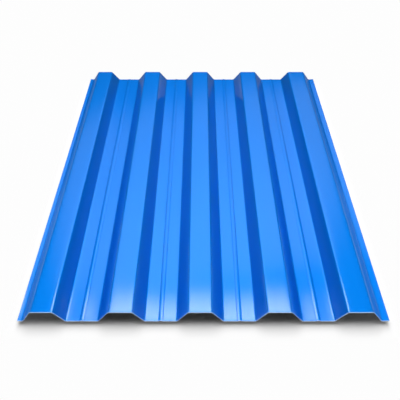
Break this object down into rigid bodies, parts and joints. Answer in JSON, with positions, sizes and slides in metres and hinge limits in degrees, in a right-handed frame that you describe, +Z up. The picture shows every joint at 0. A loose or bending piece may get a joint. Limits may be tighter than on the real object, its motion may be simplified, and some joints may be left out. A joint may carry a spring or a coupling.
{
  "type": "corrugated metal sheet",
  "caption": "Trapezoidal roofing and cladding sheet, roll formed from blue coated steel, with raised valley beads and nesting side laps.",
  "frame": {"origin": "under the middle of the sheet, on the plane of the valley undersides that it lies on", "axes": "+Y along the ribs, +X across them from the narrow underlap to the wide overlap, +Z up from the valleys to the crests"},
  "size_m": [0.9431, 1.25, 0.036],
  "materials": {
    "coated_steel": "blue polyester coil coating, semi-gloss, on galvanised steel"
  },
  "bodies": {
    "root": {"profiled_sheet": "coated_steel"}
  },
  "joints": []
}
